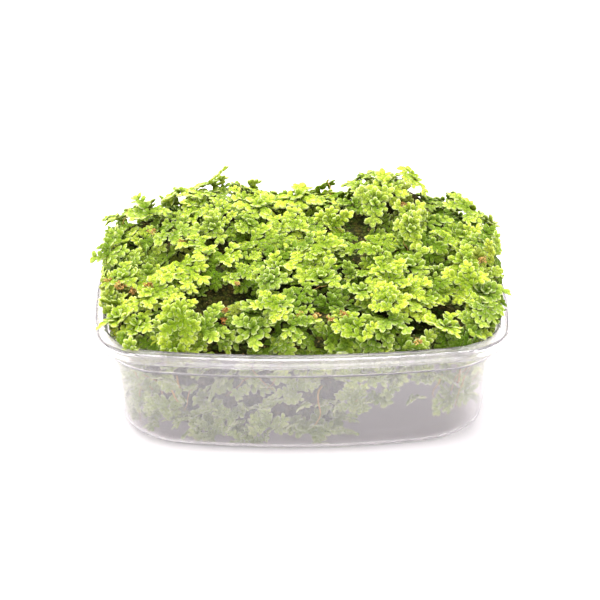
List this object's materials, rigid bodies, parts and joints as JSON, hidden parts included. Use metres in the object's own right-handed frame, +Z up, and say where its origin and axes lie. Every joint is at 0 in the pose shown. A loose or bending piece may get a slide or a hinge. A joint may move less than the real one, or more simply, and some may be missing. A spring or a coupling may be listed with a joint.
{
  "type": "mosquito fern",
  "caption": "Mosquito fern: many small lobed floating fern plants, packed in a clear rounded rectangular plastic tub and heaped over its rim.",
  "frame": {"origin": "centre of the tub's flat underside, on the surface that it stands on", "axes": "+X along the tub's long side, +Y from the front to the back, +Z up"},
  "size_m": [0.142, 0.104, 0.0716],
  "materials": {
    "clear_plastic": "clear, slightly milky, glossy",
    "fern_mat": "matt, soft packed plants, darker green",
    "fern_plant": "matt, soft plant tissue, yellow-green with pale margins"
  },
  "bodies": {
    "root": {"tub": "clear_plastic", "fern_mat": "fern_mat", "fern_plant_01": "fern_plant", "fern_plant_02": "fern_plant", "fern_plant_03": "fern_plant", "fern_plant_04": "fern_plant", "fern_plant_05": "fern_plant", "fern_plant_06": "fern_plant", "fern_plant_07": "fern_plant", "fern_plant_08": "fern_plant", "fern_plant_09": "fern_plant", "fern_plant_10": "fern_plant", "fern_plant_11": "fern_plant", "fern_plant_12": "fern_plant", "fern_plant_13": "fern_plant", "fern_plant_14": "fern_plant", "fern_plant_15": "fern_plant", "fern_plant_16": "fern_plant", "fern_plant_17": "fern_plant", "fern_plant_18": "fern_plant", "fern_plant_19": "fern_plant", "fern_plant_20": "fern_plant", "fern_plant_21": "fern_plant", "fern_plant_22": "fern_plant", "fern_plant_23": "fern_plant", "fern_plant_24": "fern_plant", "fern_plant_25": "fern_plant", "fern_plant_26": "fern_plant", "fern_plant_27": "fern_plant", "fern_plant_28": "fern_plant", "fern_plant_29": "fern_plant", "fern_plant_30": "fern_plant", "fern_plant_31": "fern_plant", "fern_plant_32": "fern_plant", "fern_plant_33": "fern_plant", "fern_plant_34": "fern_plant", "fern_plant_35": "fern_plant", "fern_plant_36": "fern_plant", "fern_plant_37": "fern_plant", "fern_plant_38": "fern_plant", "fern_plant_39": "fern_plant", "fern_plant_40": "fern_plant", "fern_plant_41": "fern_plant", "fern_plant_42": "fern_plant", "fern_plant_43": "fern_plant", "fern_plant_44": "fern_plant", "fern_plant_45": "fern_plant", "fern_plant_46": "fern_plant", "fern_plant_47": "fern_plant", "fern_plant_48": "fern_plant", "fern_plant_49": "fern_plant", "fern_plant_50": "fern_plant", "fern_plant_51": "fern_plant", "fern_plant_52": "fern_plant", "fern_plant_53": "fern_plant", "fern_plant_54": "fern_plant", "fern_plant_55": "fern_plant", "fern_plant_56": "fern_plant"}
  },
  "joints": []
}
